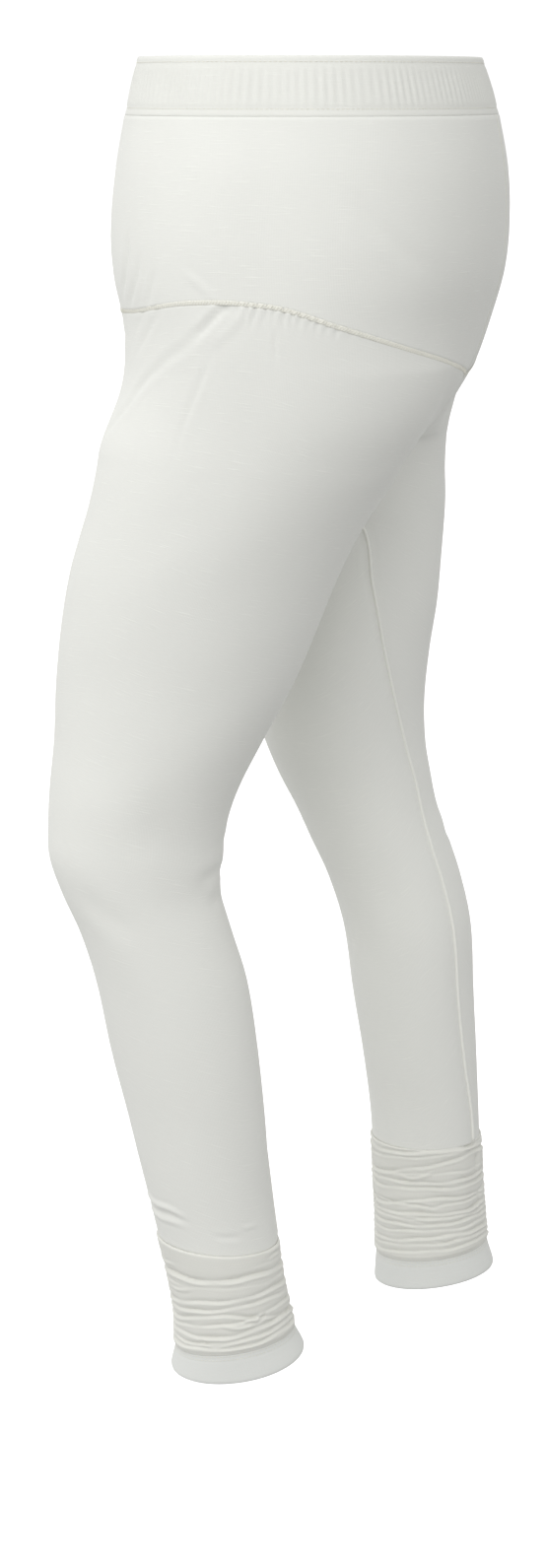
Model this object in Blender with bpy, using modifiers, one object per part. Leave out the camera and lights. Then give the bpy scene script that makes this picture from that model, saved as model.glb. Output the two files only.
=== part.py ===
"""Churidar pants in off-white stretch cotton jersey, in the walking pose in which they are worn.

A plain elastic waistband and a two-piece hip yoke carry the legs. Each leg is one cut of jersey,
closed at the inseam. Each ends in a ruched ankle, drawn up on its seam, and a plain hem band.
The origin is the middle of the waistband. The wearer faces -Y, and the wearer's left is +X.
Tables and sizes are in millimetres. A drop is a distance below the waistband's middle.
"""

import math
from collections import namedtuple

import bmesh
import bpy
from mathutils import Vector

MM = 0.001

# Cloth and seams
JERSEY_WALL = 1.5
WAISTBAND_WALL = 3.0
HEM_WALL = 2.2
SEAM_GAP = 0.3

# Heights
BAND_TOP = -20.0
BAND_FOOT = 20.0
CROTCH = 255.0

# How the two legs meet: y of the crotch point, how far below it each leg is drawn towards it,
# and how far above it the cloth bridges from leg to leg at the front and at the back.
CROTCH_Y = -6.0
CROTCH_PULL = 60.0
FRONT_RISE = 62.0
BACK_RISE = 88.0

# How far above the crotch the columns spread evenly and the legs' outline becomes the hip's
SPREAD_RISE = 70.0
HIP_BLEND = 108.0

# The hip's outline is an oval, squarer than an ellipse above a squareness of 2
TORSO_SQUARENESS = 2.3

# Mesh density
BAND_COLUMNS = 40
LEG_COLUMNS = 32
CHURI_COLUMNS = 24
HEM_COLUMNS = 24
LEAST_ROW = 10.0
SHARE_STEP = 0.004
SHARE_TOLERANCE = 1e-6

# Small gathers where the leg is eased on to the yoke, round the outer side of each hip
GATHER_FROM = 13 / 32
GATHER_TO = 19 / 32
GATHERS_PER_COLUMN = 2
GATHER_DEPTH = 1.1
GATHER_TROUGH = 0.35
GATHER_UNEVEN = 0.3
GATHER_BEAT = 2.3
GATHER_ROWS = 2

# How far down each row of the leg lies between the yoke seam (0) and the crotch (1)
HIP_ROWS = (0.0, 0.09, 0.22, 0.38, 0.54, 0.70, 0.84, 0.93, 0.98)

# How far down each row of the yoke lies between the waistband (0) and the yoke seam (1)
YOKE_ROWS = (0.0, 0.25, 0.5, 0.75, 1.0)

Torso = namedtuple("Torso", "drop front middle back side")
Section = namedtuple("Section", "drop front middle back inner outer")
SeamPoint = namedtuple("SeamPoint", "share drop")
Slant = namedtuple("Slant", "drop tilt dip", defaults=(0,))
Fold = namedtuple("Fold", "depth lift lean peak spread")

# The hip's outline: y at the front, at the widest place and at the back, then half the width
TORSO = [
    Torso(-20, -112, 0, 128, 158),
    Torso(20, -121, 2, 140, 168),
    Torso(60, -128, 5, 147, 178),
    Torso(100, -131, 8, 148, 184),
    Torso(130, -129, 8, 145, 186),
    Torso(160, -122, 6, 137, 186),
    Torso(190, -115, 3, 128, 185),
    Torso(220, -103, -2, 117, 183),
    Torso(255, -90, -8, 102, 180),
]

# The legs' horizontal sections: y at the front, at the widest place and at the back,
# then the distance of the inner and the outer side from the middle of the body.
LEGS = {
    "left": [
        Section(190, -117, 9, 134, SEAM_GAP / 2, 185),
        Section(225, -123, 2, 111, SEAM_GAP / 2, 183),
        Section(255, -129, -9, 90, SEAM_GAP / 2, 180),
        Section(264, -131, -13, 84, 3, 179),
        Section(280, -135, -20.5, 73, 5, 177.3),
        Section(305, -141, -33, 59, 7, 174.3),
        Section(340, -151, -48.5, 42, 10, 169.9),
        Section(380, -158, -61, 26, 13, 165.4),
        Section(420, -162, -73, 9, 17, 161.6),
        Section(460, -164, -84, -12, 23, 160),
        Section(495, -167, -96, -29, 30, 159),
        Section(520, -168, -102, -37, 35, 158),
        Section(545, -167, -104, -40, 39, 158),
        Section(570, -158, -101, -42, 43, 157),
        Section(600, -144, -92, -34, 45, 156),
        Section(640, -132, -78, -22, 46, 155),
        Section(690, -122, -66, -14, 48, 153),
        Section(740, -110, -59, -9, 51, 149),
        Section(790, -98, -51, -5, 54, 146),
        Section(830, -88, -44, 0, 56, 144),
        Section(870, -79, -36, 6, 57, 143),
        Section(905, -75, -30, 14, 56, 144),
        Section(945, -79, -28, 25, 53, 147),
    ],
    "right": [
        Section(190, -104, 4, 118, SEAM_GAP / 2, 185),
        Section(225, -100, 2, 104, SEAM_GAP / 2, 183),
        Section(255, -96, 1, 97, SEAM_GAP / 2, 180),
        Section(264, -95, 1, 96, 3, 179),
        Section(280, -93, 1, 95, 5, 177),
        Section(305, -90, 2, 95, 7, 173),
        Section(340, -84, 4, 93, 10, 169),
        Section(380, -75, 7, 90, 14, 165),
        Section(420, -65, 9, 84, 18, 163),
        Section(460, -54, 12, 80, 24, 161),
        Section(495, -43, 17, 81, 30, 160),
        Section(520, -33, 26, 85, 35, 160),
        Section(545, -20, 35, 90, 38, 160),
        Section(570, -9, 44, 98, 40, 161),
        Section(600, 5, 55, 108, 42, 162),
        Section(640, 18, 66, 117, 43, 163),
        Section(690, 25, 73, 120, 46, 160),
        Section(740, 33, 78, 123, 50, 154),
        Section(790, 40, 83, 126, 54, 148),
        Section(830, 43, 86, 128, 56, 145),
        Section(870, 45, 88, 131, 56, 144),
        Section(905, 46, 91, 135, 55, 145),
        Section(940, 44, 93, 141, 52, 148),
    ],
}

# The yoke seam round one half of the hip: share 0 is the centre front, 0.5 the side, 1 the back
YOKE_SEAM = [
    SeamPoint(0.0, 157),
    SeamPoint(0.25, 151),
    SeamPoint(0.4, 142),
    SeamPoint(0.5, 143),
    SeamPoint(0.6, 157),
    SeamPoint(0.75, 177),
    SeamPoint(1.0, 205),
]

# Where the ruched ankle starts and the hem begins and ends: the drop at the leg's inner side, the
# tilt in degrees, with the back higher where it is positive, and how far the outer side dips.
CHURI_TOP = {"left": Slant(833, -4), "right": Slant(812, 0)}
HEM_TOP = {"left": Slant(910, 9), "right": Slant(904, 7)}
HEM_FOOT = {"left": Slant(921.5, 7.5, 10), "right": Slant(926, 8)}

# The ruched ankle's folds from top to bottom: depth, how far the crest is lifted and how it leans,
# the angle round the leg where it is deepest and how widely it fades to the sides.
CHURI_FOLDS = {
    "left": [
        Fold(2.2, 0.0, 0.8, 200, 150),
        Fold(2.8, 0.6, -0.6, 170, 120),
        Fold(2.4, -0.5, 1.0, 250, 140),
        Fold(3.0, 0.4, -1.2, 190, 110),
        Fold(2.2, -0.6, 0.6, 130, 120),
        Fold(2.9, 0.8, 1.4, 230, 150),
        Fold(2.5, -0.4, -0.8, 180, 110),
        Fold(2.8, 0.3, 0.9, 290, 160),
        Fold(2.1, 0.0, -0.5, 160, 120),
        Fold(2.3, 0.5, 0.7, 220, 140),
    ],
    "right": [
        Fold(2.6, 0.3, -0.8, 20, 150),
        Fold(2.0, -0.4, 0.7, 340, 120),
        Fold(2.7, 0.5, 1.1, 60, 140),
        Fold(2.2, -0.3, -0.9, 10, 110),
        Fold(2.6, 0.6, 0.6, 320, 130),
        Fold(1.9, -0.5, -1.2, 80, 120),
        Fold(2.5, 0.2, 0.9, 0, 150),
        Fold(2.1, -0.2, -0.6, 330, 110),
        Fold(2.6, 0.5, 1.2, 40, 140),
        Fold(1.9, 0.0, -0.7, 350, 120),
        Fold(2.2, 0.4, 0.5, 70, 140),
    ],
}
FOLD_BASE = 0.45
FOLD_PROFILE = ((0.0, 0.0), (0.38, 1.0), (0.72, 0.55))
INSEAM_ANGLE = 315
INSEAM_TUCK = 1.2
INSEAM_TUCK_WIDTH = 26
TUCK_FADE = 2.5


def smooth_row(rows, key):
    """One row of a table at any key, read from a smooth curve through the rows."""
    key = min(max(key, rows[0][0]), rows[-1][0])
    last = len(rows) - 1
    i = next(n for n in range(last) if key <= rows[n + 1][0])
    before, start, end, after = rows[max(i - 1, 0)], rows[i], rows[i + 1], rows[min(i + 2, last)]
    span = end[0] - start[0]
    t = (key - start[0]) / span
    values = [key]
    for a, b, c, d in list(zip(before, start, end, after))[1:]:
        leave = (c - a) / (end[0] - before[0]) * span
        arrive = (d - b) / (after[0] - start[0]) * span
        bend = (leave + arrive - 2 * (c - b)) * t**3 + (3 * (c - b) - 2 * leave - arrive) * t**2
        values.append(b + leave * t + bend)
    return type(start)(*values)


def ease(t):
    """Goes smoothly from 0 to 1 as t does."""
    t = min(max(t, 0.0), 1.0)
    return t * t * (3 - 2 * t)


def torso_y(x, drop, at_front):
    """How far forward or back the hip's outline lies at a distance x from the middle."""
    torso = smooth_row(TORSO, drop)
    bulge = (1 - min(x / torso.side, 1.0) ** TORSO_SQUARENESS) ** (1 / TORSO_SQUARENESS)
    return torso.middle + ((torso.front if at_front else torso.back) - torso.middle) * bulge


def surface(side, angle, drop):
    """A point of the cloth. Angle 0 faces the other leg, 90 the front, 180 the outside, 270 the back."""
    leg = smooth_row(LEGS[side], drop)
    at_front = angle < 180
    edge = leg.front if at_front else leg.back
    y = leg.middle + (edge - leg.middle) * abs(math.sin(math.radians(angle)))
    across = (1 - math.cos(math.radians(angle))) / 2
    pull = 1 - ease((drop - CROTCH) / CROTCH_PULL)
    y += (CROTCH_Y - leg.middle) * (1 - across) ** 2 * pull
    if drop >= CROTCH:
        return leg.inner + (leg.outer - leg.inner) * across, y, drop
    # Above the crotch the inner half of the leg opens out to the middle of the body
    torso = smooth_row(TORSO, drop)
    x = SEAM_GAP / 2 + (torso.side - SEAM_GAP / 2) * across
    rise = (FRONT_RISE + BACK_RISE) / 2 + (FRONT_RISE - BACK_RISE) / 2 * (1 - angle / 180)
    up = min((CROTCH - drop) / rise, 1.0)
    if across < 0.5:
        centre = torso.front if at_front else torso.back
        bridged = centre + (edge - centre) * math.sin(math.pi * across) ** 2
        y += math.sqrt(1 - (1 - up) ** 2) * (bridged - y)
    y += ease((CROTCH - drop) / HIP_BLEND) * (torso_y(x, drop, at_front) - y)
    return x, y, drop


def angle_of(share, drop):
    """A column's angle: even round a leg, and evenly spaced along the hip's outline above it."""
    even = 360 * share
    if drop >= CROTCH:
        return even
    spaced = math.degrees(math.acos(1 - 2 * math.sin(math.pi * min(share, 1 - share))))
    spaced = spaced if share <= 0.5 else 360 - spaced
    return even + ease((CROTCH - drop) / SPREAD_RISE) * (spaced - even)


def pushed(side, share, drop, out):
    """A point of the cloth, moved outwards by a distance in the horizontal plane."""
    x, y, _ = surface(side, angle_of(share, drop), drop)
    if not out:
        return x, y, drop
    ahead = surface(side, angle_of(min(share + SHARE_STEP, 1.0), drop), drop)
    behind = surface(side, angle_of(max(share - SHARE_STEP, 0.0), drop), drop)
    along_x, along_y = ahead[0] - behind[0], ahead[1] - behind[1]
    length = math.hypot(along_x, along_y)
    return x + along_y / length * out, y - along_x / length * out, drop


def slant_drop(side, share, slant):
    """The drop of a slanted line round the leg at one column."""
    drop = slant.drop
    dip = slant.dip * (1 - math.cos(math.radians(360 * share))) / 2
    for _ in range(2):
        leg = smooth_row(LEGS[side], drop)
        y = surface(side, 360 * share, drop)[1]
        drop = slant.drop + dip - math.tan(math.radians(slant.tilt)) * (y - leg.middle)
    return drop


def vertex(side, point):
    """A point of one side's cloth in the part's own frame, in metres."""
    x, y, drop = point
    return (x if side == "left" else -x) * MM, y * MM, -drop * MM


def loft(name, rings, closed):
    """A skin through rings of (share, place), top ring first. A finer ring may meet a coarser one."""
    mesh = bmesh.new()
    made = []
    for ring, ring_closed in zip(rings, closed):
        points = [(share, mesh.verts.new(place)) for share, place in ring]
        if ring_closed:
            points.append((1.0, points[0][1]))
        made.append(points)
    for upper, lower in zip(made, made[1:]):
        coarse = upper if len(upper) < len(lower) else lower
        for (left, _), (right, _) in zip(coarse, coarse[1:]):
            start, end = left - SHARE_TOLERANCE, right + SHARE_TOLERANCE
            top = [v for share, v in upper if start <= share <= end]
            foot = [v for share, v in lower if start <= share <= end]
            corners = top + foot[::-1]
            mesh.faces.new([v for n, v in enumerate(corners) if v not in corners[:n]])
    bmesh.ops.recalc_face_normals(mesh, faces=mesh.faces)
    data = bpy.data.meshes.new(name)
    mesh.to_mesh(data)
    mesh.free()
    return data


def jersey(name, colour, roughness):
    """A matt cotton jersey material."""
    material = bpy.data.materials.new(name)
    material.use_nodes = True
    shader = material.node_tree.nodes["Principled BSDF"]
    shader.inputs["Base Color"].default_value = (*colour, 1.0)
    shader.inputs["Roughness"].default_value = roughness
    shader.inputs["Metallic"].default_value = 0.0
    shader.inputs["Sheen Weight"].default_value = 0.15
    return material


def cloth_object(name, mesh, wall, material, collection):
    """An object whose skin is thickened inwards to the cloth's wall."""
    mesh.materials.append(material)
    mesh.shade_smooth()
    cloth = bpy.data.objects.new(name, mesh)
    collection.objects.link(cloth)
    thickness = cloth.modifiers.new("wall", "SOLIDIFY")
    thickness.thickness = wall * MM
    thickness.offset = -1.0
    thickness.use_even_offset = False
    return cloth


def outward(mesh):
    """Turns an open tube's faces away from its own middle."""
    middle = sum((v.co for v in mesh.vertices), Vector()) / len(mesh.vertices)
    if sum(face.area * face.normal.dot(face.center - middle) for face in mesh.polygons) < 0:
        mesh.flip_normals()


def band_ring(drop):
    """The waist's whole outline at one height."""
    torso = smooth_row(TORSO, drop)
    ring = []
    for n in range(BAND_COLUMNS):
        turn = 2 * math.pi * n / BAND_COLUMNS
        across = abs(math.sin(turn)) ** (2 / TORSO_SQUARENESS)
        along = abs(math.cos(turn)) ** (2 / TORSO_SQUARENESS)
        x = math.copysign(torso.side * across, math.sin(turn))
        edge = torso.front if math.cos(turn) > 0 else torso.back
        y = torso.middle + (edge - torso.middle) * along
        ring.append((n / BAND_COLUMNS, vertex("left", (x, y, drop))))
    return ring


def make_waistband(material, collection):
    """The plain elastic casing round the waist, one closed ring."""
    drops = (BAND_TOP, (BAND_TOP + BAND_FOOT) / 2, BAND_FOOT - SEAM_GAP / 2)
    mesh = loft("waistband", [band_ring(drop) for drop in drops], [True] * len(drops))
    outward(mesh)
    return cloth_object("waistband", mesh, WAISTBAND_WALL, material, collection)


def leg_columns(rows_from_seam, fine_rows):
    """The columns of one row of cloth, finer in the gathered stretch next to the yoke seam."""
    columns = [n / LEG_COLUMNS for n in range(LEG_COLUMNS + 1)]
    if rows_from_seam < fine_rows:
        step = 1 / LEG_COLUMNS / (2 * GATHERS_PER_COLUMN)
        count = round((GATHER_TO - GATHER_FROM) / step)
        columns += [GATHER_FROM + n * step for n in range(count + 1)]
    return sorted({round(share, 6) for share in columns})


def make_yoke(side, material, collection):
    """Half of the hip yoke, from the waistband to the curved yoke seam."""
    rings = []
    for row, down in enumerate(YOKE_ROWS):
        ring = []
        for share in leg_columns(len(YOKE_ROWS) - 1 - row, 1):
            foot = smooth_row(YOKE_SEAM, share).drop - SEAM_GAP / 2
            top = BAND_FOOT + SEAM_GAP / 2
            drop = top + down * (foot - top)
            ring.append((share, vertex(side, pushed(side, share, drop, 0.0))))
        rings.append(ring)
    mesh = loft(f"yoke_{side}", rings, [False] * len(rings))
    outward(mesh)
    return cloth_object(f"yoke_{side}", mesh, JERSEY_WALL, material, collection)


def gather_out(share, row):
    """How far one column stands out in the gathers, alternately a crest and a trough."""
    if row >= GATHER_ROWS or not GATHER_FROM < share < GATHER_TO:
        return 0.0
    column = round((share - GATHER_FROM) * LEG_COLUMNS * 2 * GATHERS_PER_COLUMN)
    uneven = 1 - GATHER_UNEVEN + GATHER_UNEVEN * math.sin(GATHER_BEAT * column)
    crest = 1 if column % 2 else -GATHER_TROUGH
    return GATHER_DEPTH * uneven * crest * (1 - row / GATHER_ROWS)


def make_leg(side, material, collection):
    """One leg from the yoke seam, round the crotch and down to the ruched ankle."""
    rings = []
    for row, down in enumerate(HIP_ROWS):
        ring = []
        for share in leg_columns(row, GATHER_ROWS):
            top = smooth_row(YOKE_SEAM, share).drop + SEAM_GAP / 2
            drop = top + down * (CROTCH - top)
            ring.append((share, vertex(side, pushed(side, share, drop, gather_out(share, row)))))
        rings.append(ring)
    closed = [False] * len(rings)
    ankle = CHURI_TOP[side].drop
    drops = [s.drop for s in LEGS[side] if CROTCH <= s.drop < ankle - LEAST_ROW] + [ankle]
    for drop in drops:
        ring = []
        for n in range(LEG_COLUMNS):
            share = n / LEG_COLUMNS
            foot = slant_drop(side, share, CHURI_TOP[side]) - SEAM_GAP / 2
            place = CROTCH + (drop - CROTCH) / (ankle - CROTCH) * (foot - CROTCH)
            ring.append((share, vertex(side, pushed(side, share, place, 0.0))))
        rings.append(ring)
        closed.append(True)
    mesh = loft(f"leg_{side}", rings, closed)
    outward(mesh)
    return cloth_object(f"leg_{side}", mesh, JERSEY_WALL, material, collection)


def fold_depth(fold, angle):
    """How deep a fold is at an angle round the leg: it fades away from its deepest place."""
    away = abs((angle - fold.peak + 180) % 360 - 180)
    return fold.depth * (FOLD_BASE + (1 - FOLD_BASE) * (1 - ease(away / fold.spread)))


def inseam_tuck(angle):
    """How far the cloth is drawn in along the ruched seam."""
    away = abs((angle - INSEAM_ANGLE + 180) % 360 - 180)
    return INSEAM_TUCK * (1 - ease(away / INSEAM_TUCK_WIDTH))


def make_churi(side, material, collection):
    """The ruched ankle: soft folds round the leg, drawn up on the inseam."""
    folds = CHURI_FOLDS[side]
    rings = []
    steps = [(n, *profile) for n in range(len(folds)) for profile in FOLD_PROFILE]
    for n, down, height in steps + [(len(folds), 0.0, 0.0)]:
        fold = folds[min(n, len(folds) - 1)]
        ring = []
        for column in range(CHURI_COLUMNS):
            share = column / CHURI_COLUMNS
            angle = 360 * share
            top = slant_drop(side, share, CHURI_TOP[side]) + SEAM_GAP / 2
            foot = slant_drop(side, share, HEM_TOP[side]) - SEAM_GAP / 2
            pitch = (foot - top) / len(folds)
            wave = fold.lift + fold.lean * math.sin(math.radians(angle - fold.peak))
            drop = top + (n + down) * pitch - wave * height
            drawn = min(n + down, len(folds) - n - down, TUCK_FADE) / TUCK_FADE
            out = height * fold_depth(fold, angle) - inseam_tuck(angle) * drawn
            ring.append((share, vertex(side, pushed(side, share, drop, out))))
        rings.append(ring)
    mesh = loft(f"churi_{side}", rings, [True] * len(rings))
    outward(mesh)
    return cloth_object(f"churi_{side}", mesh, JERSEY_WALL, material, collection)


def make_hem(side, material, collection):
    """The plain hem band at the ankle, two layers of jersey."""
    rings = []
    for down in (0.0, 0.5, 1.0):
        ring = []
        for column in range(HEM_COLUMNS):
            share = column / HEM_COLUMNS
            top = slant_drop(side, share, HEM_TOP[side]) + SEAM_GAP / 2
            foot = slant_drop(side, share, HEM_FOOT[side])
            ring.append((share, vertex(side, pushed(side, share, top + down * (foot - top), 0.0))))
        rings.append(ring)
    mesh = loft(f"hem_{side}", rings, [True] * len(rings))
    outward(mesh)
    return cloth_object(f"hem_{side}", mesh, HEM_WALL, material, collection)


def clear_scene():
    """Removes whatever the file holds at the start."""
    for thing in list(bpy.data.objects):
        bpy.data.objects.remove(thing)


def main():
    clear_scene()
    pieces = bpy.data.collections.new("churidar pants")
    bpy.context.scene.collection.children.link(pieces)
    make_waistband(jersey("waistband jersey", (0.70, 0.71, 0.66), 0.85), pieces)
    for side in ("left", "right"):
        make_yoke(side, jersey(f"yoke jersey {side}", (0.74, 0.75, 0.71), 0.85), pieces)
        make_leg(side, jersey(f"leg jersey {side}", (0.76, 0.77, 0.73), 0.85), pieces)
        make_churi(side, jersey(f"ruched jersey {side}", (0.72, 0.73, 0.68), 0.88), pieces)
        make_hem(side, jersey(f"hem jersey {side}", (0.74, 0.75, 0.70), 0.85), pieces)


main()
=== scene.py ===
import math
from collections import namedtuple

import bmesh
import bpy
import numpy as np
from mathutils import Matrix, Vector


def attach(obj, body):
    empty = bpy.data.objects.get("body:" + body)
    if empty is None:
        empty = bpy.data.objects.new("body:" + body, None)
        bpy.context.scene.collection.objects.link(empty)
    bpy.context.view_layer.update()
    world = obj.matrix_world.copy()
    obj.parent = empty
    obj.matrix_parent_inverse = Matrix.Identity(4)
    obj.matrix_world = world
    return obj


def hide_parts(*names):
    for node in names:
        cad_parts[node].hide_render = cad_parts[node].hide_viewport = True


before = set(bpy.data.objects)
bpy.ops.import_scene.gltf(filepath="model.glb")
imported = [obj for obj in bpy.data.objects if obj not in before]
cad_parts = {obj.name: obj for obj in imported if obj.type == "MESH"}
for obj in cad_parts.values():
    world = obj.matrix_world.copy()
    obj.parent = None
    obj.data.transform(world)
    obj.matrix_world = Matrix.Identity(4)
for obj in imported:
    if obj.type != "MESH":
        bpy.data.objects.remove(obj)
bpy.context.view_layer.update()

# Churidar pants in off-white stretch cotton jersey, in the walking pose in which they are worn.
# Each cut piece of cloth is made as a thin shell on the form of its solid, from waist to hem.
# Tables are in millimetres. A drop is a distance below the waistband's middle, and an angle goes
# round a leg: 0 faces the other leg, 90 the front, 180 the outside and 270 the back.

bpy.ops.object.select_all(action="DESELECT")


# The waistband
# A plain casing of the same jersey, folded over a flat elastic and held by a row of stitches
# near each edge. The elastic draws it in, so it stands in fine upright gathers between the rows.

MM = 0.001

# The worn outline of the hip at each drop: its front, middle, back and half width
Torso = namedtuple("Torso", "drop front middle back side")
TORSO = [
    Torso(-20, -112, 0, 128, 158),
    Torso(20, -121, 2, 140, 168),
    Torso(60, -128, 5, 147, 178),
    Torso(100, -131, 8, 148, 184),
    Torso(130, -129, 8, 145, 186),
    Torso(160, -122, 6, 137, 186),
    Torso(190, -115, 3, 128, 185),
    Torso(220, -103, -2, 117, 183),
    Torso(255, -90, -8, 102, 180),
]
TORSO_SQUARENESS = 2.3

BAND_TOP = -20.0
BAND_FOOT = 20.0
BAND_WALL = 3.0
BAND_COLUMNS = 620
FINE_STEPS = 4000
BAND_CLOTH = 0.9
SEAM_GAP = 0.3

# How many gathers there are, how deep they are and how far from the band's middle they reach
BAND_GATHERS = 150
BAND_GATHER = 0.55
BAND_GATHER_REACH = 15.0
BAND_GATHER_LEAN = 0.03
BAND_GATHER_INSIDE = 0.15
BAND_SET_BACK = 0.4

# The gathers are not quite even: waves round the waist shift them and change their depth
Wave = namedtuple("Wave", "amount count start")
BAND_WANDER = [Wave(0.9, 5, 1.0), Wave(0.7, 11, 0.0), Wave(0.4, 23, 0.0)]
BAND_EVENNESS = 0.75
BAND_UNEVENNESS = [Wave(0.25, 17, 2.0)]

BAND_STITCH_ROWS = (-15.5, 14.5)
BAND_STITCH_DENT = 0.5
BAND_STITCH_DENT_WIDTH = 1.3
BAND_STITCH_PROUD = 0.1

# How far apart the stitches of a row lie and how big each one is, and how far before and after it
# its row is read for the way ahead
Stitch = namedtuple("Stitch", "step length width height")
BAND_STITCH = Stitch(3.4, 2.5, 0.55, 0.5)
HALF_READ = 0.3

# The folded cloth's cross section: depth into the wall as a share of it, and share of the way down
CasingPoint = namedtuple("CasingPoint", "depth down")
OUTSIDE_ROWS = 22
INSIDE_ROWS = 10
CASING = [CasingPoint(0.0, 1.0 - n / OUTSIDE_ROWS) for n in range(OUTSIDE_ROWS)]
CASING += [CasingPoint(0.12, -0.004), CasingPoint(0.5, -0.012), CasingPoint(0.88, -0.004)]
CASING += [CasingPoint(1.0, n / INSIDE_ROWS) for n in range(INSIDE_ROWS + 1)]


def read_table(rows, keys):
    """Reads a table at many keys at once, along a smooth curve through its rows."""
    table = np.array(rows, dtype=float)
    keys = np.clip(np.asarray(keys, dtype=float), table[0, 0], table[-1, 0])
    first = np.clip(np.searchsorted(table[:, 0], keys) - 1, 0, len(table) - 2)
    before, start, end, after = (
        table[np.clip(first + step, 0, len(table) - 1)] for step in (-1, 0, 1, 2)
    )
    span = (end - start)[..., :1]
    t = (keys[..., None] - start[..., :1]) / span
    leave = (end - before) / (end - before)[..., :1] * span
    arrive = (after - start) / (after - start)[..., :1] * span
    rise = end - start
    bend = (leave + arrive - 2 * rise) * t**3 + (3 * rise - 2 * leave - arrive) * t**2
    return np.moveaxis(start + leave * t + bend, -1, 0)


def waves(turn, table):
    """Waves that go round a piece, added together."""
    return sum(amount * np.sin(count * turn + start) for amount, count, start in table)


def out_of(points, outward, tube_rows=None):
    """The outward direction at each point of a grid. Tube rows join their last column to the first."""
    down = np.gradient(points, axis=0)
    along = np.gradient(points, axis=1)
    if tube_rows is not None:
        over = points[tube_rows, 1] - points[tube_rows, -2]
        along[tube_rows, 0] = over
        along[tube_rows, -1] = over
    out = np.cross(down, along) * outward
    return out / np.linalg.norm(out, axis=2, keepdims=True)


def lengths_of(points):
    """Metres of cloth along each row, from its middle, and down each column."""
    along = np.zeros(points.shape[:2])
    along[:, 1:] = np.cumsum(np.linalg.norm(np.diff(points, axis=1), axis=2), axis=1)
    along -= along[:, points.shape[1] // 2][:, None]
    down = np.zeros(points.shape[:2])
    down[1:] = np.cumsum(np.linalg.norm(np.diff(points, axis=0), axis=2), axis=0)
    return np.stack([along, down], axis=-1)


def cloth_object(name, points, outward, metres, wall=0.0):
    """A grid of points as a piece of cloth. Its UVs are metres of cloth, and its wall goes inwards."""
    rows, columns = points.shape[:2]
    index = np.arange(rows * columns).reshape(rows, columns)
    corners = [index[:-1, :-1], index[1:, :-1], index[1:, 1:], index[:-1, 1:]]
    quads = np.stack(corners, axis=-1).reshape(-1, 4)
    mesh = bpy.data.meshes.new(name)
    mesh.from_pydata(points.reshape(-1, 3).tolist(), [], quads[:, :: int(outward)].tolist())
    loops = np.empty(len(mesh.loops), dtype=np.int32)
    mesh.loops.foreach_get("vertex_index", loops)
    uvs = mesh.uv_layers.new(name="cloth")
    uvs.data.foreach_set("uv", metres.reshape(-1, 2)[loops].astype(np.float32).ravel())
    sewn = bmesh.new()
    sewn.from_mesh(mesh)
    bmesh.ops.remove_doubles(sewn, verts=sewn.verts, dist=0.01 * MM)
    sewn.to_mesh(mesh)
    sewn.free()
    mesh.shade_smooth()
    cloth = bpy.data.objects.new(name, mesh)
    bpy.context.scene.collection.objects.link(cloth)
    if wall:
        thickness = cloth.modifiers.new("wall", "SOLIDIFY")
        thickness.thickness = wall * MM
        thickness.offset = -1.0
        thickness.use_even_offset = False
        bpy.context.view_layer.objects.active = cloth
        bpy.ops.object.modifier_apply(modifier="wall")
    return cloth


def knit_group():
    """Single jersey close up: fine upright ribs, thick slubs lying across and slow changes of tone."""
    group = bpy.data.node_groups.new("jersey knit", "ShaderNodeTree")
    sockets = group.interface
    for name, value in (("Ribs per metre", 900.0), ("Slubs", 1.0)):
        socket = sockets.new_socket(name, in_out="INPUT", socket_type="NodeSocketFloat")
        socket.default_value = value
    sockets.new_socket("Height", in_out="OUTPUT", socket_type="NodeSocketFloat")
    sockets.new_socket("Tone", in_out="OUTPUT", socket_type="NodeSocketFloat")
    nodes, join = group.nodes, group.links.new
    given = nodes.new("NodeGroupInput")
    put = nodes.new("NodeGroupOutput")
    uv = nodes.new("ShaderNodeUVMap")
    uv.uv_map = "cloth"
    split = nodes.new("ShaderNodeSeparateXYZ")
    join(uv.outputs["UV"], split.inputs[0])

    def maths(kind, a, b=None, c=None):
        node = nodes.new("ShaderNodeMath")
        node.operation = kind
        for socket, value in zip(node.inputs, (a, b, c)):
            if isinstance(value, (int, float)):
                socket.default_value = value
            elif value is not None:
                join(value, socket)
        return node.outputs[0]

    def stretched_noise(across, down, detail):
        scale = nodes.new("ShaderNodeMapping")
        scale.inputs["Scale"].default_value = (across, down, 1.0)
        join(uv.outputs["UV"], scale.inputs["Vector"])
        noise = nodes.new("ShaderNodeTexNoise")
        noise.inputs["Scale"].default_value = 1.0
        noise.inputs["Detail"].default_value = detail
        join(scale.outputs[0], noise.inputs["Vector"])
        return noise.outputs["Fac"]

    turn = maths("MULTIPLY", maths("MULTIPLY", split.outputs["X"], given.outputs[0]), math.pi)
    rib = maths("ABSOLUTE", maths("SINE", turn))
    slub = nodes.new("ShaderNodeMapRange")
    slub.inputs["From Min"].default_value = 0.6
    slub.inputs["From Max"].default_value = 0.78
    join(stretched_noise(across=45, down=700, detail=1.5), slub.inputs["Value"])
    slubs = maths("MULTIPLY", slub.outputs[0], given.outputs[1])
    yarn = stretched_noise(across=160, down=1300, detail=2.0)
    slow = stretched_noise(across=11, down=7, detail=2.0)
    height = maths("MULTIPLY_ADD", rib, 0.35, maths("MULTIPLY_ADD", yarn, 0.5, slubs))
    join(height, put.inputs["Height"])
    tone = maths("MULTIPLY_ADD", slubs, 0.35, maths("MULTIPLY", yarn, 0.4))
    join(maths("MULTIPLY_ADD", slow, 0.6, tone), put.inputs["Tone"])
    return group


KNIT = knit_group()


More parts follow.
